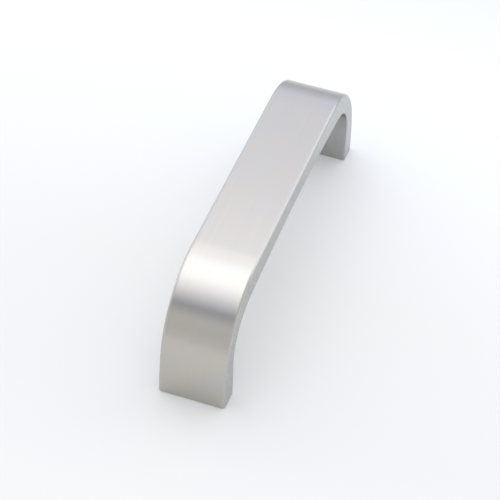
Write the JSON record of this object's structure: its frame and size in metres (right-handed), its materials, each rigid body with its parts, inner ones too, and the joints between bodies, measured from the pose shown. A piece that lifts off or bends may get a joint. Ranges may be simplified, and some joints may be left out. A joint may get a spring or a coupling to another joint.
{
  "type": "door pull",
  "caption": "Bow-shaped flat-bar door pull in satin aluminium, with an arched underside and tapped holes in its feet.",
  "frame": {"origin": "on the door's face, midway between the two feet", "axes": "+X along the pull, +Y across it, +Z away from the door"},
  "size_m": [0.1358, 0.023, 0.0405],
  "materials": {
    "satin_aluminium": "satin, finely brushed along its length"
  },
  "bodies": {
    "root": {"pull": "satin_aluminium"}
  },
  "joints": []
}
